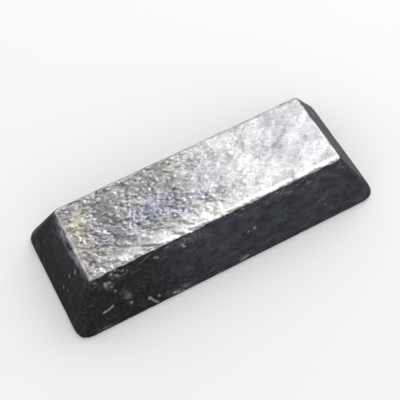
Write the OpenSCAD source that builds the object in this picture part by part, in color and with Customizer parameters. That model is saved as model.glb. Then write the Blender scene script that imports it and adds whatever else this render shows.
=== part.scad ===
// Lead ingot, cast in an open mould and stored as it lies once tipped out:
// wide poured face down, small mould-floor face up, length along X.
// The origin is the middle of the poured face. All lengths are in millimetres.

/* [Poured face] */
// Length of the wide face that was open to the air in the mould
poured_l = 151; // [110:0.5:260]
// Width of that face
poured_w = 62; // [50:0.5:110]
// Plan radius of its four corners
poured_corner_r = 6.5; // [3:0.1:12]
// Radius of its rim, where the molten metal drew back from the mould wall
rim_r = 1.6; // [0.6:0.1:2.8]

/* [Small face] */
// Length of the face that lay on the mould's floor
small_l = 123; // [90:0.5:220]
// Width of that face
small_w = 39.5; // [30:0.5:80]
// Plan radius of its four corners
small_corner_r = 2; // [1.2:0.1:8]
// Radius of its worn edges
small_edge_r = 0.8; // [0.3:0.1:1.1]

/* [Height] */
// Height from the poured face to the small face
ingot_h = 28.5; // [20:0.5:60]

/* [Shrinkage hollow] */
// Depth of the hollow that the poured face sinks to as the metal sets
hollow_depth = 1.3; // [0.4:0.1:3]
// Flat rim left between the hollow and the ingot's outline
hollow_margin = 7.5; // [5:0.1:12]

/* [Hidden] */
// Sides of a full circle in plan, where the corners are blended
corner_sides = 32;
// Sides of a full circle in section, where the rim and the edges are rounded
edge_sides = 16;

// Width and length of the hollow's mouth
hollow_w = poured_w - 2 * hollow_margin;
hollow_l = poured_l - 2 * hollow_margin;
// Radius of the sphere whose cap is as wide and as deep as the hollow
hollow_r = (hollow_w * hollow_w / 4 + hollow_depth * hollow_depth) / (2 * hollow_depth);

// A round disc of radius r with its edge rounded over by edge_r, resting on z = 0
module rounded_disc(r, edge_r) {
    rotate_extrude($fn = corner_sides)
        intersection() {
            translate([0, edge_r])
                union() {
                    translate([0, -edge_r]) square([r - edge_r, 2 * edge_r]);
                    translate([r - edge_r, 0]) circle(edge_r, $fn = edge_sides);
                }
            square([r, 2 * edge_r]);
        }
}

// The same child at the four corners of a face, corner_r in from its outline
module at_corners(face_l, face_w, corner_r) {
    for (x_side = [-1, 1], y_side = [-1, 1])
        translate([x_side * (face_l / 2 - corner_r), y_side * (face_w / 2 - corner_r), 0])
            children();
}

// The drafted block: one loft from the poured face's corners to the small face's
module drafted_block() {
    hull() {
        at_corners(poured_l, poured_w, poured_corner_r)
            rounded_disc(poured_corner_r, rim_r);
        translate([0, 0, ingot_h - 2 * small_edge_r])
            at_corners(small_l, small_w, small_corner_r)
                rounded_disc(small_corner_r, small_edge_r);
    }
}

// The shallow hollow in the poured face: a sphere's cap, drawn out along the length
module shrinkage_hollow() {
    translate([0, 0, hollow_depth - hollow_r])
        scale([hollow_l / hollow_w, 1, 1])
            sphere(hollow_r, $fn = corner_sides);
}

// The whole ingot, one casting
module ingot() {
    color("slategray")
        difference() {
            drafted_block();
            shrinkage_hollow();
        }
}

ingot();
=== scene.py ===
import math

import bpy
from mathutils import Matrix, Vector


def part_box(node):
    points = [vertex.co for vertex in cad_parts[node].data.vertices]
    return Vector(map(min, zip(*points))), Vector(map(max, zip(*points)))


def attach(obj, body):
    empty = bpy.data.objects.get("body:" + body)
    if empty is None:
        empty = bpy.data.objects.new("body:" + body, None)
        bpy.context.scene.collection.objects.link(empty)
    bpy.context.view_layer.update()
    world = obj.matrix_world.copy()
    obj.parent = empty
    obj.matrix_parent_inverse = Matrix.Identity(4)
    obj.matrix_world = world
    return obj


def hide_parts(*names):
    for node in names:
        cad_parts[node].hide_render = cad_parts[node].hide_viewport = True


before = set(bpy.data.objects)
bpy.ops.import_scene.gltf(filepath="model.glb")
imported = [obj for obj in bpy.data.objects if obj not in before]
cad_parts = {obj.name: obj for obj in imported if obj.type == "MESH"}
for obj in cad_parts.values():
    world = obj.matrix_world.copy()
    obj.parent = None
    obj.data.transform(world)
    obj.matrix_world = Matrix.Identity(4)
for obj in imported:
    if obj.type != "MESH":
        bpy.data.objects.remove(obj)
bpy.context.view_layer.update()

# The ingot: one block of lead, poured into an open mould with drafted walls and tipped out when set.
# It lies on the wide face that was open to the air. The small face above set against the mould's
# floor, so it carries the crinkled skin of metal that chilled as it ran in.
low, high = (Vector(corner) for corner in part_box("ingot"))
poured_length = high.x - low.x
poured_width = high.y - low.y
height = high.z - low.z
small_length = 0.123
small_width = 0.0395
poured_corner = 0.0065
small_corner = 0.002
rim_radius = 0.0016
edge_radius = 0.0008
hollow_depth = 0.0013
hollow_margin = 0.0075


def wall_reach(poured_size, small_size):
    """How wide the block would be at the floor and at the top, if its drafted walls ran on."""
    run = (poured_size / 2 - rim_radius) - (small_size / 2 - edge_radius)
    climb = height - rim_radius - edge_radius
    lean = math.atan2(run, climb) + math.asin((rim_radius - edge_radius) / math.hypot(run, climb))
    foot = poured_size / 2 - rim_radius + rim_radius * (math.sin(lean) + 1) / math.cos(lean)
    return 2 * foot, 2 * (foot - height * math.tan(lean))


foot_length, top_length = wall_reach(poured_length, small_length)
foot_width, top_width = wall_reach(poured_width, small_width)

casting_sizes = {
    "Poured length": poured_length,
    "Poured width": poured_width,
    "Poured corner": poured_corner,
    "Foot length": foot_length,
    "Foot width": foot_width,
    "Top length": top_length,
    "Top width": top_width,
    "Top corner": small_corner,
    "Height": height,
    "Hollow depth": hollow_depth,
    "Hollow margin": hollow_margin,
    "Crinkle size": 0.0022,
    "Swell depth": 0.00035,
    "Ridge depth": 0.00016,
    "Crease depth": 0.00015,
    "Lap depth": 0.00012,
    "Pit depth": 0.00025,
    "Scuff breadth": 0.0013,
    "Scuff depth": 0.00012,
    "Ripple depth": 0.0003,
    "Sway depth": 0.0004,
    "Nick depth": 0.0004,
}
casting_cells = {"Cells along": 270, "Cells across": 90, "Cells up": 64}


def named_inputs(tree):
    """Gives the casting's tree its sockets: its sizes, its cells, the scuff strokes and the finish."""
    tree.interface.new_socket("Geometry", in_out="OUTPUT", socket_type="NodeSocketGeometry")
    kinds = {
        "NodeSocketFloat": casting_sizes,
        "NodeSocketInt": casting_cells,
        "NodeSocketObject": ("Scuffs",),
        "NodeSocketMaterial": ("Finish",),
    }
    for kind, names in kinds.items():
        for name in names:
            tree.interface.new_socket(name, in_out="INPUT", socket_type=kind)
    return tree.nodes.new("NodeGroupInput").outputs


def add(tree, kind, feeds=None, out=0, **settings):
    """Adds a node to a tree, feeds its sockets with links or plain values, and gives one of its outputs."""
    node = tree.nodes.new(kind)
    for name, value in settings.items():
        setattr(node, name, value)
    for socket, value in (feeds or {}).items():
        if isinstance(value, bpy.types.NodeSocket):
            tree.links.new(value, node.inputs[socket])
        else:
            node.inputs[socket].default_value = value
    return node.outputs[out]


def calc(tree, operation, *values):
    """One step of arithmetic."""
    return add(tree, "ShaderNodeMath", dict(enumerate(values)), operation=operation)


def arrow(tree, operation, *values):
    """One step of arithmetic on vectors."""
    return add(tree, "ShaderNodeVectorMath", dict(enumerate(values)), operation=operation)


def scaled(tree, vector, factor):
    """A vector times a number."""
    return add(tree, "ShaderNodeVectorMath", {"Vector": vector, "Scale": factor}, operation="SCALE")


def axes(tree, vector):
    """The X, Y and Z of a vector."""
    return add(tree, "ShaderNodeSeparateXYZ", {"Vector": vector}).node.outputs


def lerp(tree, share, first, last):
    """A straight blend from first to last, as share goes from 0 to 1."""
    return add(tree, "ShaderNodeMapRange", {"Value": share, "To Min": first, "To Max": last})


def rounded_level(tree, given, corner, rise):
    """Turns each level of the cube into a rounded rectangle between the poured face and the small face."""
    half = {}
    for axis, way in (("X", "length"), ("Y", "width")):
        wall = lerp(tree, rise, given[f"Foot {way}"], given[f"Top {way}"])
        half[axis] = calc(tree, "MULTIPLY", calc(tree, "MINIMUM", wall, given[f"Poured {way}"]), 0.5)
    radius = lerp(tree, rise, given["Poured corner"], given["Top corner"])
    least_shell = 1e-5
    shell = calc(tree, "MAXIMUM", calc(tree, "ABSOLUTE", corner["X"]), calc(tree, "ABSOLUTE", corner["Y"]))
    safe_shell = calc(tree, "MAXIMUM", shell, least_shell)
    outline = {}
    inset = {}
    for axis in half:
        outline[axis] = calc(tree, "MULTIPLY", calc(tree, "DIVIDE", corner[axis], safe_shell), half[axis])
        straight = calc(tree, "SUBTRACT", half[axis], radius)
        held = calc(tree, "MINIMUM", calc(tree, "ABSOLUTE", outline[axis]), straight)
        inset[axis] = calc(tree, "MULTIPLY", held, calc(tree, "SIGN", outline[axis]))
    sharp = add(tree, "ShaderNodeCombineXYZ", outline)
    core = add(tree, "ShaderNodeCombineXYZ", inset)
    swung = arrow(tree, "NORMALIZE", arrow(tree, "SUBTRACT", sharp, core))
    rounded = arrow(tree, "ADD", core, scaled(tree, swung, radius))
    return scaled(tree, rounded, shell)


def hollow_share(tree, given, place):
    """How deep the poured face's hollow is at a place: 1 in its middle, 0 at its brim and beyond."""
    off_middle = axes(tree, place)
    spread = []
    for axis, size in (("X", "Poured length"), ("Y", "Poured width")):
        reach = calc(tree, "SUBTRACT", calc(tree, "MULTIPLY", given[size], 0.5), given["Hollow margin"])
        spread.append(calc(tree, "POWER", calc(tree, "DIVIDE", off_middle[axis], reach), 2))
    return calc(tree, "MAXIMUM", calc(tree, "SUBTRACT", 1, calc(tree, "ADD", *spread)), 0)


def lofted_block(tree, given):
    """A grid on a cube, lofted from the poured face to the small face. The poured face sank as it set."""
    cube_size = (2, 2, 2)
    level_slack = 1e-4
    counts = {
        f"Vertices {axis}": calc(tree, "ADD", given[f"Cells {way}"], 1)
        for axis, way in (("X", "along"), ("Y", "across"), ("Z", "up"))
    }
    cube = add(tree, "GeometryNodeMeshCube", {"Size": cube_size, **counts})
    corner = axes(tree, add(tree, "GeometryNodeInputPosition"))
    rise = calc(tree, "MULTIPLY_ADD", corner["Z"], 0.5, 0.5)
    level = rounded_level(tree, given, corner, rise)
    underneath = calc(tree, "COMPARE", rise, 0, level_slack)
    sinking = calc(tree, "MULTIPLY", hollow_share(tree, given, level), underneath)
    sinking = calc(tree, "MULTIPLY", sinking, given["Hollow depth"])
    lift = calc(tree, "ADD", calc(tree, "MULTIPLY", rise, given["Height"]), sinking)
    flat = axes(tree, level)
    loft = add(tree, "ShaderNodeCombineXYZ", {"X": flat["X"], "Y": flat["Y"], "Z": lift})
    return add(tree, "GeometryNodeSetPosition", {"Geometry": cube, "Position": loft})


def eased(tree, block, passes, where):
    """Rounds a block over: each pass moves its points towards their neighbours, as far as where says."""
    feeds = {"Value": add(tree, "GeometryNodeInputPosition"), "Iterations": passes, "Weight": where}
    moved = add(tree, "GeometryNodeBlurAttribute", feeds, data_type="FLOAT_VECTOR")
    return add(tree, "GeometryNodeSetPosition", {"Geometry": block, "Position": moved})


def rounded_block(tree, given):
    """The lofted block with its edges rounded over, the poured rim more than the small face's edges."""
    edge_passes = 3
    rim_passes = 9
    rim_height_share = 0.14
    block = eased(tree, lofted_block(tree, given), edge_passes, where=1)
    up = axes(tree, add(tree, "GeometryNodeInputPosition"))["Z"]
    by_rim = calc(tree, "LESS_THAN", up, calc(tree, "MULTIPLY", given["Height"], rim_height_share))
    return eased(tree, block, rim_passes, where=by_rim)


def ramp(tree, value, start, end, first=0, last=1):
    """A smooth step from first to last as value goes from start to end."""
    feeds = {"Value": value, "From Min": start, "From Max": end, "To Min": first, "To Max": last}
    return add(tree, "ShaderNodeMapRange", feeds, interpolation_type="SMOOTHSTEP")


def lumps(tree, place, across, detail, seed, out="Fac"):
    """Soft random lumps about across in size, from 0 to 1 around a mean of a half."""
    feeds = {"Vector": place, "W": seed, "Scale": 1 / across, "Detail": detail}
    return add(tree, "ShaderNodeTexNoise", feeds, out, noise_dimensions="4D")


def patches(tree, place, across, detail, seed, start, end, first=0, last=1):
    """Random patches about across in size: first where lumps are under start, last where past end."""
    return ramp(tree, lumps(tree, place, across, detail, seed), start, end, first, last)


def edge_mark(tree):
    """1 on the rounded edges of the small face, 0 on the faces beside them, by the way a point looks."""
    upward = axes(tree, add(tree, "GeometryNodeInputNormal"))["Z"]
    off_walls = ramp(tree, upward, start=0.66, end=0.82)
    off_small_face = ramp(tree, upward, start=0.995, end=0.95)
    return calc(tree, "MULTIPLY", off_walls, off_small_face)


def softened(tree, value, passes):
    """A value spread over the neighbouring points."""
    return add(tree, "GeometryNodeBlurAttribute", {"Value": value, "Iterations": passes}, data_type="FLOAT")


def sunk(tree, block, drop):
    """A block whose points lie deeper by a drop, straight in from its surface."""
    inwards = scaled(tree, add(tree, "GeometryNodeInputNormal"), calc(tree, "MULTIPLY", drop, -1))
    return add(tree, "GeometryNodeSetPosition", {"Geometry": block, "Offset": inwards})


def knocked_edges(tree, given, block):
    """Knocks the small face's soft edges in, as handling does: short nicks, and a slow waver along them."""
    waver_share = 0.7
    place = add(tree, "GeometryNodeInputPosition")
    nicks = patches(tree, place, across=0.003, detail=2, seed=40, start=0.5, end=0.66)
    waver = patches(tree, place, across=0.0085, detail=2, seed=41, start=0.3, end=0.7)
    by_edge = ramp(tree, softened(tree, edge_mark(tree), passes=3), start=0.05, end=0.4)
    dents = calc(tree, "MULTIPLY", by_edge, calc(tree, "MULTIPLY_ADD", waver, waver_share, nicks))
    dents = softened(tree, dents, passes=2)
    return sunk(tree, block, calc(tree, "MULTIPLY", dents, given["Nick depth"]))


def keep(tree, block, name, value):
    """Stores a value on the points of a block under a name, for the drops and the finish to read."""
    feeds = {"Geometry": block, "Name": name, "Value": value}
    return add(tree, "GeometryNodeStoreNamedAttribute", feeds, data_type="FLOAT", domain="POINT")


def recall(tree, name):
    """A value that was stored on the points of the block."""
    return add(tree, "GeometryNodeInputNamedAttribute", {"Name": name}, data_type="FLOAT")


def marked_faces(tree, block):
    """Marks each point's face, by the way it looks, where edges are rubbed and painted with a highlight, and
    the four hips.
    """
    hip_gain = 2
    looks = axes(tree, add(tree, "GeometryNodeInputNormal"))
    block = keep(tree, block, "small_face", ramp(tree, looks["Z"], start=0.62, end=0.94))
    block = keep(tree, block, "poured_face", ramp(tree, looks["Z"], start=-0.5, end=-0.9))
    block = keep(tree, block, "rubbed_edge", edge_mark(tree))
    both_ways = calc(tree, "MINIMUM", calc(tree, "ABSOLUTE", looks["X"]), calc(tree, "ABSOLUTE", looks["Y"]))
    return keep(tree, block, "hip", lerp(tree, both_ways, 0, hip_gain))


# The metal ran into the mould on a slant, and the small face's skin is drawn out along that slant.
run_slant = math.radians(24)


def wander(tree, place, across, detail, seed):
    """A random push that changes slowly from place to place, up to about a half each way."""
    middle = (0.5, 0.5, 0.5)
    return arrow(tree, "SUBTRACT", lumps(tree, place, across, detail, seed, out="Color"), middle)


def winding(tree, place, across, breadth, seed):
    """Short winding lines about across apart: 1 along the middle of a line, 0 beside it."""
    gap_spacing = across * 1.3
    gap_seed = seed + 3
    swing = calc(tree, "SUBTRACT", lumps(tree, place, across, detail=1, seed=seed), 0.5)
    line = ramp(tree, calc(tree, "ABSOLUTE", swing), start=breadth, end=0)
    unbroken = patches(tree, place, gap_spacing, detail=1, seed=gap_seed, start=0.42, end=0.54)
    return calc(tree, "MULTIPLY", line, unbroken)


def spot(tree, place, middle, reach):
    """A soft patch: 1 about its middle, 0 beyond its reach along each axis."""
    offset = arrow(tree, "DIVIDE", arrow(tree, "SUBTRACT", place, middle), reach)
    far = add(tree, "ShaderNodeVectorMath", {0: offset}, "Value", operation="LENGTH")
    return ramp(tree, far, start=1, end=0.25)


def small_face_spot(tree, place, middle, reach):
    """A soft patch on the small face, given along its length and across its width."""
    return spot(tree, place, (*middle, height), (*reach, height))


def small_face_skin(tree, given, block):
    """Marks the small face's low swells, short ridges, thin creases, and drag lines by the near edge."""
    crinkle_draw = (0.5, 1.05, 1)
    crinkle_stray = 0.6
    drag_draw = (0.1, 1, 1)
    calming_by_drag = -0.75
    place = add(tree, "GeometryNodeInputPosition")
    feeds = {"Vector": place, "Angle": run_slant}
    slanted = add(tree, "ShaderNodeVectorRotate", feeds, rotation_type="Z_AXIS")
    cells = scaled(tree, slanted, calc(tree, "DIVIDE", 1, given["Crinkle size"]))
    stray = scaled(tree, wander(tree, cells, across=1.6, detail=1, seed=1), crinkle_stray)
    cells = arrow(tree, "ADD", arrow(tree, "MULTIPLY", cells, crinkle_draw), stray)
    drag_patch = small_face_spot(tree, place, middle=(-0.03, -0.0135), reach=(0.026, 0.01))
    undragged = calc(tree, "MULTIPLY_ADD", drag_patch, calming_by_drag, 1)
    swell = patches(tree, cells, across=2.4, detail=3, seed=4, start=0.25, end=0.75)
    ridge = winding(tree, cells, across=1, breadth=0.11, seed=11)
    crease = winding(tree, cells, across=1.4, breadth=0.05, seed=19)
    dragged = arrow(tree, "MULTIPLY", slanted, drag_draw)
    drag = patches(tree, dragged, across=0.0015, detail=2, seed=23, start=0.5, end=0.66)
    block = keep(tree, block, "swell", swell)
    block = keep(tree, block, "ridge", calc(tree, "MULTIPLY", ridge, undragged))
    block = keep(tree, block, "crease", calc(tree, "MULTIPLY", crease, undragged))
    return keep(tree, block, "drag", calc(tree, "MULTIPLY", drag, drag_patch))


def border_along(tree, place):
    """How far along the length a place is, pushed about so that the border of the crinkled skin wanders."""
    border_sway = 0.05
    push = lumps(tree, place, across=0.011, detail=2, seed=47)
    along = calc(tree, "SUBTRACT", axes(tree, place)["X"], border_sway / 2)
    return calc(tree, "MULTIPLY_ADD", push, border_sway, along)


def small_face_drop(tree, given):
    """How deep the small face's skin lies. It is calmer towards +X, where the metal was still hot as it met
    the mould."""
    border = border_along(tree, add(tree, "GeometryNodeInputPosition"))
    lively = ramp(tree, border, start=0.02, end=-0.022, first=0.3)
    cut = calc(tree, "MAXIMUM", recall(tree, "crease"), recall(tree, "drag"))
    drop = calc(tree, "MULTIPLY", cut, given["Crease depth"])
    for name, depth in (("swell", "Swell depth"), ("ridge", "Ridge depth")):
        below_top = calc(tree, "SUBTRACT", 1, recall(tree, name))
        drop = calc(tree, "MULTIPLY_ADD", below_top, given[depth], drop)
    return calc(tree, "MULTIPLY", drop, lively)


def pits(tree, place):
    """Scattered pits of uneven breadth and depth: 1 in the middle of the deepest ones."""
    spacing = 0.005
    rarity = 0.86
    narrowest, widest = 0.07, 0.2
    shallowest, deepest = 0.2, 1
    cells = add(tree, "ShaderNodeTexVoronoi", {"Vector": place, "Scale": 1 / spacing}).node.outputs
    luck = add(tree, "FunctionNodeSeparateColor", {"Color": cells["Color"]}).node.outputs
    breadth = lerp(tree, luck["Green"], narrowest, widest)
    pit = ramp(tree, calc(tree, "DIVIDE", cells["Distance"], breadth), start=1, end=0.3)
    pit = calc(tree, "MULTIPLY", pit, calc(tree, "GREATER_THAN", luck["Red"], rarity))
    return calc(tree, "MULTIPLY", pit, lerp(tree, luck["Blue"], shallowest, deepest))


def scuffs_along(tree, given, place):
    """Scuffs from handling, along the given strokes: 1 along the ragged middle of each, 0 beside it."""
    strokes = add(tree, "GeometryNodeObjectInfo", {"Object": given["Scuffs"]}, "Geometry")
    shake = scaled(tree, wander(tree, place, across=0.0016, detail=2, seed=27), given["Scuff breadth"])
    feeds = {0: strokes, "Sample Position": arrow(tree, "ADD", place, shake)}
    off_stroke = add(tree, "GeometryNodeProximity", feeds, "Distance", target_element="EDGES")
    uneven = patches(tree, place, across=0.002, detail=2, seed=28, start=0.3, end=0.7, first=0.5, last=1.4)
    breadth = calc(tree, "MULTIPLY", uneven, given["Scuff breadth"])
    return ramp(tree, calc(tree, "DIVIDE", off_stroke, breadth), start=0.6, end=0.1)


def wall_drop(tree, given):
    """How deep the walls' skin lies: faint level laps left by the rising metal, and the pits and scuffs."""
    lap_draw = (0.16, 0.6, 1)
    level = arrow(tree, "MULTIPLY", add(tree, "GeometryNodeInputPosition"), lap_draw)
    drop = calc(tree, "MULTIPLY", lumps(tree, level, across=0.0022, detail=2, seed=2), given["Lap depth"])
    drop = calc(tree, "MULTIPLY_ADD", recall(tree, "pit"), given["Pit depth"], drop)
    return calc(tree, "MULTIPLY_ADD", recall(tree, "scuff"), given["Scuff depth"], drop)


def set_rings(tree, given, place):
    """Rings around the hollow, left as the metal sank in steps, and broken here and there."""
    step_share = 0.13
    unevenness = 0.35
    hollow = hollow_share(tree, given, place)
    uneven = lumps(tree, place, across=0.012, detail=3, seed=6)
    step = calc(tree, "PINGPONG", calc(tree, "MULTIPLY_ADD", uneven, unevenness, hollow), step_share)
    ring = ramp(tree, step, start=0.05, end=step_share)
    ring = calc(tree, "MULTIPLY", ring, ramp(tree, hollow, start=0, end=0.12))
    unbroken = patches(tree, place, across=0.015, detail=2, seed=31, start=0.4, end=0.6)
    return calc(tree, "MULTIPLY", ring, unbroken)


def poured_face_drop(tree, given):
    """How deep the poured face's skin lies: the set rings, and low ripples."""
    place = add(tree, "GeometryNodeInputPosition")
    ripples = patches(tree, place, across=0.0035, detail=3, seed=7, start=0.4, end=0.8)
    relief = calc(tree, "ADD", recall(tree, "set_ring"), ripples)
    return calc(tree, "MULTIPLY", relief, given["Ripple depth"])


def casting_tree():
    """The casting as a rule: the rounded block, knocked at its edges and sunk all over to its cast skin."""
    tree = bpy.data.node_groups.new("ingot_casting", "GeometryNodeTree")
    given = named_inputs(tree)
    block = knocked_edges(tree, given, rounded_block(tree, given))
    block = small_face_skin(tree, given, marked_faces(tree, block))
    place = add(tree, "GeometryNodeInputPosition")
    block = keep(tree, block, "pit", pits(tree, place))
    block = keep(tree, block, "scuff", scuffs_along(tree, given, place))
    block = keep(tree, block, "set_ring", set_rings(tree, given, place))

    sway = calc(tree, "MULTIPLY", lumps(tree, place, across=0.014, detail=2, seed=3), given["Sway depth"])
    skin = lerp(tree, recall(tree, "small_face"), wall_drop(tree, given), small_face_drop(tree, given))
    swayed = calc(tree, "ADD", sway, skin)
    block = sunk(tree, block, lerp(tree, recall(tree, "poured_face"), swayed, poured_face_drop(tree, given)))

    smooth = add(tree, "GeometryNodeSetShadeSmooth", {"Geometry": block, "Shade Smooth": True})
    whole = add(tree, "GeometryNodeRealizeInstances", {"Geometry": smooth})
    finished = add(tree, "GeometryNodeSetMaterial", {"Geometry": whole, "Material": given["Finish"]})
    tree.links.new(finished, tree.nodes.new("NodeGroupOutput").inputs["Geometry"])
    return tree


def kept(tree, name):
    """A value that the casting stored on its points, for the finish."""
    return add(tree, "ShaderNodeAttribute", out="Fac", attribute_name=name)


def stain(tree, under, over, *where, strength=1, how="MIX"):
    """Lays one colour over another where all the given masks are, as strongly as they and strength say."""
    share_socket, under_socket, over_socket, colour_out = 0, 6, 7, 2
    share = strength
    for mask in where:
        share = calc(tree, "MULTIPLY", mask, share)
    feeds = {share_socket: share, under_socket: under, over_socket: over}
    return add(tree, "ShaderNodeMix", feeds, colour_out, data_type="RGBA", blend_type=how)


def drawn_out(tree, place, turn, stretch):
    """Places turned and stretched, so that the lumps of a pattern become slanted streaks."""
    feeds = {"Vector": place, "Rotation": turn, "Scale": stretch}
    return add(tree, "ShaderNodeMapping", feeds, vector_type="TEXTURE")


def smooth_metal(tree, place):
    """The small face towards +X: pale silver with soft slanting streaks of painted reflection and painted
    shade.
    """
    smooth_silver = (0.53, 0.535, 0.545, 1)
    streak_shade_grey = (0.25, 0.255, 0.27, 1)
    reflection_white = (0.65, 0.655, 0.662, 1)
    # Grey clouds of painted shade and white swathes of painted reflection, both slanted.
    streaks = drawn_out(tree, place, turn=(0, 0, math.radians(40)), stretch=(2.5, 1, 1))
    clouds = patches(tree, streaks, across=0.0021, detail=2, seed=42, start=0.42, end=0.68, last=0.95)
    reflection_swathes = patches(tree, streaks, across=0.0055, detail=2, seed=43, start=0.44, end=0.62, last=0.7)
    return stain(tree, stain(tree, smooth_silver, streak_shade_grey, clouds), reflection_white, reflection_swathes)


# Silver for painted highlights: on the small face's ridges and flecks, and in the bright bands by its edges,
# which are partly worn.
highlight_silver = (0.90, 0.89, 0.86, 1)
# Violet for painted shade in the small face's creases and drag lines.
violet_crease_shade = (0.075, 0.072, 0.11, 1)


def bare_metal(tree, place, run_place, border, calmed):
    """Grey metal, silver on its swells, painted highlights on its ridges, painted shade in its creases, and
    smooth towards +X.
    """
    deep_grey = (0.35, 0.35, 0.36, 1)
    soft_silver = (0.58, 0.58, 0.59, 1)
    grey_crease_shade = (0.13, 0.13, 0.135, 1)
    chilled = ramp(tree, border, start=0.022, end=-0.018, first=0.32)
    small = stain(tree, deep_grey, soft_silver, kept(tree, "swell"))
    small = stain(tree, small, smooth_metal(tree, place), calmed, strength=0.8)
    crease_shading = stain(tree, violet_crease_shade, grey_crease_shade, calmed)
    # Painted highlights on the ridges, and further down in bright flecks.
    small = stain(tree, small, highlight_silver, kept(tree, "ridge"), chilled, strength=0.6)
    # Painted shade in the creases, the fine creases and the dull flecks.
    small = stain(tree, small, crease_shading, kept(tree, "crease"), chilled, strength=0.7)
    fine_creases = winding(tree, run_place, across=0.0013, breadth=0.07, seed=8)
    small = stain(tree, small, crease_shading, fine_creases, chilled, strength=0.65)
    dull_flecks = patches(tree, run_place, across=0.001, detail=1, seed=9, start=0.5, end=0.66)
    small = stain(tree, small, crease_shading, dull_flecks, chilled, strength=0.6)
    glint_flecks = patches(tree, run_place, across=0.0011, detail=1, seed=18, start=0.54, end=0.66)
    return stain(tree, small, highlight_silver, glint_flecks, chilled, strength=0.75)


def film_and_painted_light(tree, place, border, small):
    """A thin grey film in clouds, a veil of painted shade towards +X, and a near edge that is rubbed and
    painted bright as a highlight.
    """
    film_grey = (0.20, 0.20, 0.21, 1)
    clouds = patches(tree, place, across=0.0085, detail=4, seed=10, start=0.36, end=0.64, last=0.45)
    outer_film = ramp(tree, border, start=0.024, end=0.004)
    inner_film = ramp(tree, border, start=0.018, end=0.048)
    unpolished = calc(tree, "MAXIMUM", outer_film, inner_film)
    near_highlight_band = small_face_spot(tree, place, middle=(-0.022, -0.0165), reach=(0.055, 0.0085))
    off_band = calc(tree, "SUBTRACT", 1, near_highlight_band)
    small = stain(tree, small, film_grey, clouds, unpolished, off_band)
    # Painted shade: the film's grey laid thinly over the face towards +X, to hold back the lamp's glare
    # there.
    veil = ramp(tree, axes(tree, place)["X"], start=0.014, end=0.044)
    small = stain(tree, small, film_grey, veil, strength=0.22)
    # Painted highlight along the near edge, over some real rubbing.
    return stain(tree, small, highlight_silver, near_highlight_band, strength=0.42)


def handling_and_highlights(tree, place, small):
    """Wear and painted highlights: a bright line inside the near edge, a bright band on the outer end; dark
    drag lines of painted shade.
    """
    line_inset = 0.0019
    line_at = line_inset - small_width / 2
    off_line = calc(tree, "ABSOLUTE", calc(tree, "SUBTRACT", axes(tree, place)["Y"], line_at))
    line = ramp(tree, off_line, start=0.0014, end=0.0003)
    unbroken = patches(tree, place, across=0.006, detail=2, seed=38, start=0.35, end=0.5)
    # Painted highlight just inside the near edge, over some real wear.
    small = stain(tree, small, highlight_silver, line, unbroken, strength=0.7)
    # Painted shade in the drag lines.
    small = stain(tree, small, violet_crease_shade, kept(tree, "drag"), strength=0.75)
    # Painted highlight along the outer end's edge, over some real wear.
    end_highlight_band = small_face_spot(tree, place, middle=(-0.061, -0.003), reach=(0.0035, 0.022))
    return stain(tree, small, highlight_silver, end_highlight_band, strength=0.5)


def specked(tree, run_place, calmed, small):
    """Straw and violet specks all over the crinkled skin."""
    straw_speck = (1.00, 0.95, 0.80, 1)
    violet_speck = (0.87, 0.88, 1.00, 1)
    specks = lumps(tree, run_place, across=0.0019, detail=1, seed=48)
    straw = ramp(tree, specks, start=0.54, end=0.66)
    violet = ramp(tree, specks, start=0.46, end=0.34)
    crinkled = calc(tree, "SUBTRACT", 1, calmed)
    small = stain(tree, small, straw_speck, straw, crinkled, strength=0.8, how="MULTIPLY")
    return stain(tree, small, violet_speck, violet, crinkled, strength=0.8, how="MULTIPLY")


def tarnished(tree, place, small):
    """Heat tarnish in blooms: straw and rust by the outer end, violet and blue from there to the middle.

    Each bloom has its hue, how it is laid on, its middle, its reach, the size of its clouds, how rare they
    are, and its strength.
    """
    straw = (0.97, 0.95, 0.87, 1)
    gold = (1.00, 0.85, 0.42, 1)
    rust = (0.77, 0.60, 0.45, 1)
    olive = (0.93, 0.91, 0.83, 1)
    dusk = (0.84, 0.84, 0.93, 1)
    violet = (0.68, 0.70, 0.85, 1)
    lilac = (0.88, 0.90, 1.00, 1)
    mauve = (0.88, 0.89, 0.95, 1)
    ice_blue = (0.92, 0.95, 1.00, 1)
    blooms = (
        (straw, "OVERLAY", (-0.054, 0.007), (0.013, 0.015), 0.0030, 0.42, 0.7),
        (gold, "OVERLAY", (-0.0555, 0.0065), (0.0060, 0.0062), 0.0024, 0.43, 0.95),
        (rust, "OVERLAY", (-0.057, -0.007), (0.008, 0.012), 0.0028, 0.48, 0.8),
        (olive, "MULTIPLY", (-0.026, 0.010), (0.034, 0.010), 0.0060, 0.40, 0.8),
        (dusk, "MULTIPLY", (-0.038, -0.003), (0.019, 0.011), 0.0040, 0.40, 0.9),
        (violet, "MULTIPLY", (-0.0265, -0.0005), (0.0095, 0.0080), 0.0034, 0.40, 0.9),
        (ice_blue, "MULTIPLY", (-0.057, 0.016), (0.010, 0.008), 0.0060, 0.40, 0.9),
        (lilac, "MULTIPLY", (-0.018, -0.004), (0.016, 0.015), 0.0040, 0.36, 0.8),
        (ice_blue, "MULTIPLY", (0.004, 0.002), (0.014, 0.017), 0.0055, 0.36, 0.8),
        (mauve, "MULTIPLY", (0.047, 0.003), (0.019, 0.018), 0.0060, 0.36, 0.8),
    )
    first_seed = 20
    cloud_edge = 0.16
    for seed, (hue, how, middle, reach, cloud_size, rarity, strength) in enumerate(blooms, first_seed):
        bloom = small_face_spot(tree, place, middle, reach)
        clouds = patches(tree, place, cloud_size, detail=2, seed=seed, start=rarity, end=rarity + cloud_edge)
        small = stain(tree, small, hue, bloom, clouds, strength=strength, how=how)
    return small


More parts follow.
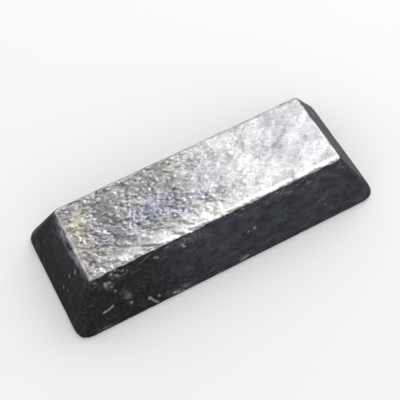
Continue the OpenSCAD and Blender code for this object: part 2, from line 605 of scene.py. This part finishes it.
def small_face_colour(tree, place):
    """The small face's colour, from the bare metal up to the tarnish, with painted highlights and painted
    shade.
    """
    border = border_along(tree, place)
    calmed = ramp(tree, border, start=-0.024, end=0.023)
    run_place = drawn_out(tree, place, turn=(0, 0, -run_slant), stretch=(2, 1, 1))
    small = bare_metal(tree, place, run_place, border, calmed)
    small = handling_and_highlights(tree, place, film_and_painted_light(tree, place, border, small))
    return tarnished(tree, place, specked(tree, run_place, calmed, small))


wall_black = (0.0205, 0.020, 0.0198, 1)
sweep_grey = (0.095, 0.098, 0.108, 1)
bared_silver = (0.28, 0.28, 0.285, 1)


def mould_skin(tree, place, drifted):
    """The walls' black mould skin: slate towards +X, mottled and gritty."""
    wall_slate = (0.052, 0.056, 0.070, 1)
    cloud_sway = 0.07
    clouds = lumps(tree, place, across=0.007, detail=3, seed=12)
    along = calc(tree, "MULTIPLY_ADD", clouds, cloud_sway, axes(tree, place)["X"])
    wall = stain(tree, wall_black, wall_slate, ramp(tree, along, start=-0.015, end=0.035))
    mottle = patches(tree, drifted, across=0.0026, detail=3, seed=13, start=0.36, end=0.64, last=0.55)
    wall = stain(tree, wall, wall_black, mottle)
    grit = patches(tree, place, across=0.0011, detail=2, seed=24, start=0.42, end=0.8, last=0.36)
    return stain(tree, wall, sweep_grey, grit)


def swept(tree, place, drifted, wall):
    """Paler curling sweeps on the walls, and wear below the small face's edges, more of it towards +X."""
    curl_reach = 0.018
    curl = scaled(tree, wander(tree, place, across=0.016, detail=1, seed=14), curl_reach)
    curled = arrow(tree, "ADD", place, curl)
    sweep_place = drawn_out(tree, curled, turn=(0, math.radians(8), 0), stretch=(7, 2, 1))
    sweeps = patches(tree, sweep_place, across=0.0017, detail=3, seed=5, start=0.45, end=0.75)
    sweep_clouds = patches(tree, place, across=0.006, detail=2, seed=15, start=0.45, end=0.62)
    wall = stain(tree, wall, sweep_grey, sweeps, sweep_clouds, strength=0.75)
    wear = patches(tree, drifted, across=0.0022, detail=2, seed=39, start=0.4, end=0.7, last=0.6)
    high_up = ramp(tree, axes(tree, place)["Z"], start=0.0195, end=0.0255)
    further_in = ramp(tree, axes(tree, place)["X"], start=-0.035, end=-0.012, first=0.25)
    return stain(tree, wall, sweep_grey, wear, high_up, further_in)


def knocked(tree, place, wall):
    """Bared flecks below the small face's edges, and short dashes there and above the poured rim."""
    fleck_draw = (0.6, 0.6, 1)
    up = axes(tree, place)["Z"]
    off_hips = ramp(tree, kept(tree, "hip"), start=0.5, end=0.15)
    fleck_place = arrow(tree, "MULTIPLY", place, fleck_draw)
    flecks = patches(tree, fleck_place, across=0.0011, detail=1, seed=44, start=0.58, end=0.68)
    fleck_clouds = patches(tree, place, across=0.006, detail=1, seed=45, start=0.42, end=0.58)
    by_edge = ramp(tree, up, start=0.0215, end=0.0265)
    wall = stain(tree, wall, bared_silver, flecks, fleck_clouds, by_edge, off_hips, strength=0.8)
    dash_place = drawn_out(tree, place, turn=(0, math.radians(-9), 0), stretch=(5, 5, 1))
    dashes = patches(tree, dash_place, across=0.0012, detail=2, seed=25, start=0.58, end=0.7)
    off_edge = ramp(tree, up, start=0.0285, end=0.0265)
    below_edge = calc(tree, "MULTIPLY", ramp(tree, up, start=0.0205, end=0.0245), off_edge)
    off_floor = ramp(tree, up, start=0, end=0.001)
    above_rim = calc(tree, "MULTIPLY", off_floor, ramp(tree, up, start=0.007, end=0.003))
    exposed = calc(tree, "MAXIMUM", below_edge, above_rim)
    dash_clouds = patches(tree, place, across=0.008, detail=1, seed=29, start=0.42, end=0.58)
    return stain(tree, wall, bared_silver, dashes, exposed, dash_clouds, off_hips, strength=0.55)


def arc_rubbed(tree, place, wall):
    """Faint arcs of rubbing on the long walls, two on each.

    Each has the hub that it turns about, its middle and its reach.
    """
    slowness = 0.16
    arcs = (
        ((-0.006, -0.0255, 0.0040), (-0.009, -0.0240, 0.0165), (0.012, 0.02, 0.010)),
        ((0.040, -0.0210, 0.0300), (0.044, -0.0255, 0.0130), (0.014, 0.02, 0.010)),
        ((0.026, 0.0270, 0.0000), (0.020, 0.0240, 0.0155), (0.014, 0.02, 0.010)),
        ((-0.034, 0.0210, 0.0310), (-0.040, 0.0255, 0.0120), (0.014, 0.02, 0.009)),
    )
    for hub, middle, reach in arcs:
        from_hub = arrow(tree, "SUBTRACT", place, hub)
        radius = add(tree, "ShaderNodeVectorMath", {0: from_hub}, "Value", operation="LENGTH")
        round_hub = add(tree, "ShaderNodeCombineXYZ", {"Y": radius})
        arc_place = arrow(tree, "ADD", scaled(tree, from_hub, slowness), round_hub)
        lines = patches(tree, arc_place, across=0.0012, detail=2, seed=35, start=0.48, end=0.66)
        wall = stain(tree, wall, sweep_grey, lines, spot(tree, place, middle, reach), strength=0.6)
    return wall


def edge_sheen_and_wear(tree, place, wall):
    """Slate painted highlights down the hips, the outer end's upper part in a violet painted sheen, and a
    paler lip of wear and painted highlight.
    """
    hip_highlight_slate = (0.058, 0.062, 0.065, 1)
    sheen_violet = (0.056, 0.056, 0.068, 1)
    lip_highlight_violet = (0.47, 0.45, 0.53, 1)
    hip_draw = (1, 1, 0.25)
    hip_place = arrow(tree, "MULTIPLY", place, hip_draw)
    # Painted highlights: slate streaks where the rounded hips catch the light.
    streaks = patches(tree, hip_place, across=0.0013, detail=3, seed=36, start=0.44, end=0.72)
    on_hips = ramp(tree, kept(tree, "hip"), start=0.4, end=1)
    wall = stain(tree, wall, hip_highlight_slate, on_hips, streaks, strength=0.7)
    # Painted sheen: the outer end's upper part made lighter.
    veil = spot(tree, place, middle=(-0.066, 0, 0.0215), reach=(0.012, 0.028, 0.0095))
    wall = stain(tree, wall, sheen_violet, veil, strength=0.25)
    # A paler lip under the outer end's edge: partly wear, partly a painted highlight.
    lip = spot(tree, place, middle=(-0.0625, 0, 0.0278), reach=(0.008, 0.024, 0.0054))
    unbroken = patches(tree, place, across=0.003, detail=3, seed=37, start=0.3, end=0.7)
    return stain(tree, wall, lip_highlight_violet, lip, unbroken, strength=0.9)


def scuffed(tree, place, wall):
    """Pits and scuffs that bare the metal, and grey smudges, each with its middle and its reach."""
    scuff_silver = (0.42, 0.42, 0.42, 1)
    smudge_grey = (0.13, 0.13, 0.138, 1)
    smudges = (
        ((-0.0545, -0.0225, 0.0215), (0.0030, 0.0050, 0.0035)),
        ((-0.0485, -0.0260, 0.0130), (0.0022, 0.0050, 0.0036)),
        ((-0.0240, -0.0295, 0.0035), (0.0050, 0.0050, 0.0022)),
        ((-0.0150, -0.0210, 0.0255), (0.0085, 0.0050, 0.0030)),
        ((0.0065, -0.0300, 0.0030), (0.0045, 0.0050, 0.0022)),
    )
    wall = stain(tree, wall, bared_silver, kept(tree, "pit"), strength=0.5)
    patchy = patches(tree, place, across=0.0015, detail=2, seed=16, start=0.32, end=0.52, first=0.25)
    wall = stain(tree, wall, scuff_silver, kept(tree, "scuff"), patchy, strength=0.85)
    unbroken = patches(tree, place, across=0.0013, detail=2, seed=46, start=0.36, end=0.62)
    for middle, reach in smudges:
        wall = stain(tree, wall, smudge_grey, spot(tree, place, middle, reach), unbroken, strength=0.95)
    return wall


def wall_colour(tree, place):
    """The walls' colour, from the mould skin up to the scuffs, with painted highlights and sheen by the
    edges.
    """
    drift = (0.35, 0.35, 1)
    drifted = arrow(tree, "MULTIPLY", place, drift)
    wall = swept(tree, place, drifted, mould_skin(tree, place, drifted))
    wall = arc_rubbed(tree, place, knocked(tree, place, wall))
    return scuffed(tree, place, edge_sheen_and_wear(tree, place, wall))


def poured_face_colour(tree, place):
    """A dull grey skin with faint straw and blue blooms, darker along its set rings."""
    poured_grey = (0.26, 0.26, 0.27, 1)
    poured_silver = (0.40, 0.40, 0.40, 1)
    ring_grey = (0.13, 0.13, 0.14, 1)
    straw_bloom = (1.00, 0.95, 0.86, 1)
    blue_bloom = (0.90, 0.93, 1.00, 1)
    clouds = patches(tree, place, across=0.014, detail=5, seed=7, start=0.3, end=0.7)
    poured = stain(tree, poured_grey, poured_silver, clouds)
    for seed, bloom in ((32, straw_bloom), (33, blue_bloom)):
        bloomed = patches(tree, place, across=0.022, detail=2, seed=seed, start=0.45, end=0.65)
        poured = stain(tree, poured, bloom, bloomed, how="MULTIPLY")
    poured = stain(tree, poured, ring_grey, kept(tree, "set_ring"), strength=0.4)
    flecks = patches(tree, place, across=0.0015, detail=3, seed=34, start=0.5, end=0.7)
    return stain(tree, poured, ring_grey, flecks, strength=0.35)


def lead_finish():
    """Bright crinkled lead on the small face, dark mould skin on the walls, grey on the poured face."""
    edge_rub_and_highlight = (0.72, 0.72, 0.73, 1)
    wall_sheen = (0.62, 0.62, 0.62, 1)
    small_sheen = (1, 1, 1, 1)
    wall_roughness = 0.42
    small_roughness = 0.34
    grain_size = 0.0007
    grain_depth = 0.0002
    grain_strength = 0.35
    raggedness = 0.5
    material = bpy.data.materials.new("cast_lead")
    material.use_nodes = True
    tree = material.node_tree
    surface = tree.nodes["Principled BSDF"].inputs
    place = add(tree, "ShaderNodeTexCoord", out="Object")

    ragged = lumps(tree, place, across=0.0025, detail=2, seed=0)
    ragged = calc(tree, "MULTIPLY_ADD", ragged, raggedness, -raggedness / 2)
    on_small = ramp(tree, calc(tree, "ADD", kept(tree, "small_face"), ragged), start=0.35, end=0.6)
    sides = stain(tree, wall_colour(tree, place), poured_face_colour(tree, place), kept(tree, "poured_face"))
    colour = stain(tree, sides, small_face_colour(tree, place), on_small)
    # The small face's rounded edges: rubbed silver, partly wear and partly a painted highlight.
    unbroken = patches(tree, place, across=0.005, detail=2, seed=17, start=0.34, end=0.54)
    colour = stain(tree, colour, edge_rub_and_highlight, kept(tree, "rubbed_edge"), unbroken, strength=0.85)
    grain = lumps(tree, place, across=grain_size, detail=3, seed=2)
    feeds = {"Height": grain, "Strength": grain_strength, "Distance": grain_depth}
    bump = add(tree, "ShaderNodeBump", feeds)
    tree.links.new(colour, surface["Base Color"])
    tree.links.new(lerp(tree, on_small, wall_roughness, small_roughness), surface["Roughness"])
    tree.links.new(stain(tree, wall_sheen, small_sheen, on_small), surface["Specular Tint"])
    tree.links.new(bump, surface["Normal"])
    surface["Metallic"].default_value = 1
    return material


def wall_place(side, along, down):
    """A place on a wall, from how far along it is and its share of the way down from the small face.

    The near wall is at -Y, the far one at +Y, the outer end at -X and the inner end at +X.
    """
    half_length = (top_length + (foot_length - top_length) * down) / 2
    half_width = (top_width + (foot_width - top_width) * down) / 2
    up = height * (1 - down)
    places = {
        "near": (along, -half_width, up),
        "far": (along, half_width, up),
        "outer": (-half_length, along, up),
        "inner": (half_length, along, up),
    }
    return places[side]


# Scuffs on the walls: for each short stroke, the wall, then how far along and down it starts and ends.
scuff_strokes = (
    ("near", -0.0610, 0.64, -0.0565, 0.60),
    ("near", -0.0503, 0.12, -0.0495, 0.16),
    ("near", -0.0522, 0.06, -0.0518, 0.07),
    ("near", -0.0558, 0.17, -0.0558, 0.24),
    ("near", -0.0540, 0.19, -0.0538, 0.20),
    ("near", -0.0537, 0.27, -0.0535, 0.28),
    ("near", -0.0498, 0.03, -0.0494, 0.04),
    ("near", -0.0467, 0.09, -0.0466, 0.10),
    ("near", -0.0530, 0.36, -0.0528, 0.37),
    ("near", -0.0485, 0.68, -0.0483, 0.70),
    ("near", -0.0405, 0.75, -0.0372, 0.93),
    ("near", -0.0360, 0.79, -0.0358, 0.81),
    ("near", -0.0320, 0.14, -0.0310, 0.16),
    ("near", -0.0190, 0.15, -0.0185, 0.20),
    ("near", -0.0290, 0.88, -0.0225, 0.95),
    ("near", 0.0045, 0.90, 0.0075, 0.88),
    ("near", 0.0105, 0.48, 0.0110, 0.47),
    ("near", 0.0140, 0.46, 0.0143, 0.47),
    ("outer", -0.0070, 0.40, -0.0075, 0.43),
    ("outer", -0.0068, 0.64, -0.0070, 0.67),
    ("outer", -0.0100, 0.60, -0.0103, 0.61),
    ("outer", -0.0090, 0.22, -0.0092, 0.26),
    ("far", -0.0530, 0.26, -0.0500, 0.44),
    ("far", -0.0230, 0.72, -0.0228, 0.73),
    ("far", 0.0050, 0.19, 0.0125, 0.12),
    ("far", 0.0310, 0.62, 0.0385, 0.52),
    ("far", 0.0475, 0.80, 0.0477, 0.81),
    ("inner", -0.0125, 0.26, -0.0080, 0.42),
    ("inner", 0.0040, 0.70, 0.0041, 0.71),
    ("inner", 0.0138, 0.38, 0.0148, 0.56),
)
stroke_ends = []
for side, first_along, first_down, last_along, last_down in scuff_strokes:
    stroke_ends.append(wall_place(side, first_along, first_down))
    stroke_ends.append(wall_place(side, last_along, last_down))
strokes = [(first, first + 1) for first in range(0, len(stroke_ends), 2)]
scuff_mesh = bpy.data.meshes.new("scuff_strokes")
scuff_mesh.from_pydata(stroke_ends, strokes, [])
scuffs = bpy.data.objects.new("scuff_strokes", scuff_mesh)
bpy.context.scene.collection.objects.link(scuffs)

casting = bpy.data.objects.new("ingot_casting", bpy.data.meshes.new("ingot_casting"))
bpy.context.scene.collection.objects.link(casting)
pouring = casting.modifiers.new("pouring", "NODES")
pouring.node_group = casting_tree()
chosen = {**casting_sizes, **casting_cells, "Scuffs": scuffs, "Finish": lead_finish()}
for item in pouring.node_group.interface.items_tree:
    if item.in_out == "INPUT":
        pouring[item.identifier] = chosen[item.name]
evaluated = casting.evaluated_get(bpy.context.evaluated_depsgraph_get())
poured = bpy.data.meshes.new_from_object(evaluated)
ingot = bpy.data.objects.new("lead_ingot", poured)
bpy.context.scene.collection.objects.link(ingot)
bpy.data.objects.remove(casting)
bpy.data.objects.remove(scuffs)
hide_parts("ingot")
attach(ingot, "root")

# The floor: a plain pale sheet that the ingot lies on, wide enough to fill the view. Its paint is matt,
# and it glows a little for the camera and for reflections, so that it stays nearly white in both.
floor_half = 3.0
floor_white = (0.88, 0.88, 0.88, 1)
floor_roughness = 0.9
floor_glow = 0.15
glow_white = (1, 1, 1, 1)
floor_mesh = bpy.data.meshes.new("floor")
floor_corners = [
    (-floor_half, -floor_half, 0),
    (floor_half, -floor_half, 0),
    (floor_half, floor_half, 0),
    (-floor_half, floor_half, 0),
]
floor_mesh.from_pydata(floor_corners, [], [(0, 1, 2, 3)])
floor = bpy.data.objects.new("floor", floor_mesh)
bpy.context.scene.collection.objects.link(floor)
floor_paint = bpy.data.materials.new("floor_paint")
floor_paint.use_nodes = True
paint_tree = floor_paint.node_tree
floor_surface = paint_tree.nodes["Principled BSDF"].inputs
floor_surface["Base Color"].default_value = floor_white
floor_surface["Roughness"].default_value = floor_roughness
floor_surface["Specular IOR Level"].default_value = 0
floor_surface["Emission Color"].default_value = glow_white
rays = add(paint_tree, "ShaderNodeLightPath").node.outputs
seen = rays["Is Camera Ray"]
for ray in ("Is Glossy Ray", "Is Transmission Ray"):
    seen = calc(paint_tree, "MAXIMUM", seen, rays[ray])
paint_tree.links.new(calc(paint_tree, "MULTIPLY", seen, floor_glow), floor_surface["Emission Strength"])
floor_mesh.materials.append(floor_paint)

# The light: a soft white room, dim at the horizon, bright at the height of its walls and dim overhead,
# and one broad lamp above and behind to the right, which the small face mirrors softly.
horizon_level = 0.45
wall_level = 0.95
ceiling_level = 0.25
room_white = (1, 1, 1, 1)
lamp_place = Vector((0.513, 0.333, 0.841))
lamp_size = 0.7
lamp_power = 3.7
room = bpy.data.worlds.new("room")
bpy.context.scene.world = room
room.use_nodes = True
room_tree = room.node_tree
room_surface = room_tree.nodes["Background"].inputs
upward = axes(room_tree, add(room_tree, "ShaderNodeTexCoord", out="Generated"))["Z"]
lower_level = ramp(room_tree, upward, start=0, end=0.42, first=horizon_level, last=wall_level)
room_level = ramp(room_tree, upward, start=0.6, end=0.95, first=lower_level, last=ceiling_level)
room_surface["Color"].default_value = room_white
room_tree.links.new(room_level, room_surface["Strength"])
aim = Vector((0, 0, height / 2))
lamp = bpy.data.lights.new("back_lamp", "AREA")
lamp.size = lamp_size
lamp.energy = lamp_power
lamp_stand = bpy.data.objects.new("back_lamp", lamp)
lamp_stand.location = lamp_place
lamp_stand.rotation_euler = (aim - lamp_place).to_track_quat("-Z", "Y").to_euler()
bpy.context.scene.collection.objects.link(lamp_stand)

# The camera: a long lens, close above the near long side and towards the outer end, rolled a little so
# that the ingot rises to the right across the picture.
view_azimuth = math.radians(-22.6)
view_elevation = math.radians(59.7)
view_roll = math.radians(-5.9)
view_distance = 0.425
view_lens = 85
back = Vector((
    math.sin(view_azimuth) * math.cos(view_elevation),
    -math.cos(view_azimuth) * math.cos(view_elevation),
    math.sin(view_elevation),
))
view = bpy.data.cameras.new("view")
view.lens = view_lens
camera = bpy.data.objects.new("view", view)
camera.location = aim + back * view_distance
turn = (-back).to_track_quat("-Z", "Y").to_matrix() @ Matrix.Rotation(view_roll, 3, "Z")
camera.rotation_euler = turn.to_euler()
bpy.context.scene.collection.objects.link(camera)
bpy.context.scene.camera = camera
bpy.context.scene.view_settings.view_transform = "Standard"
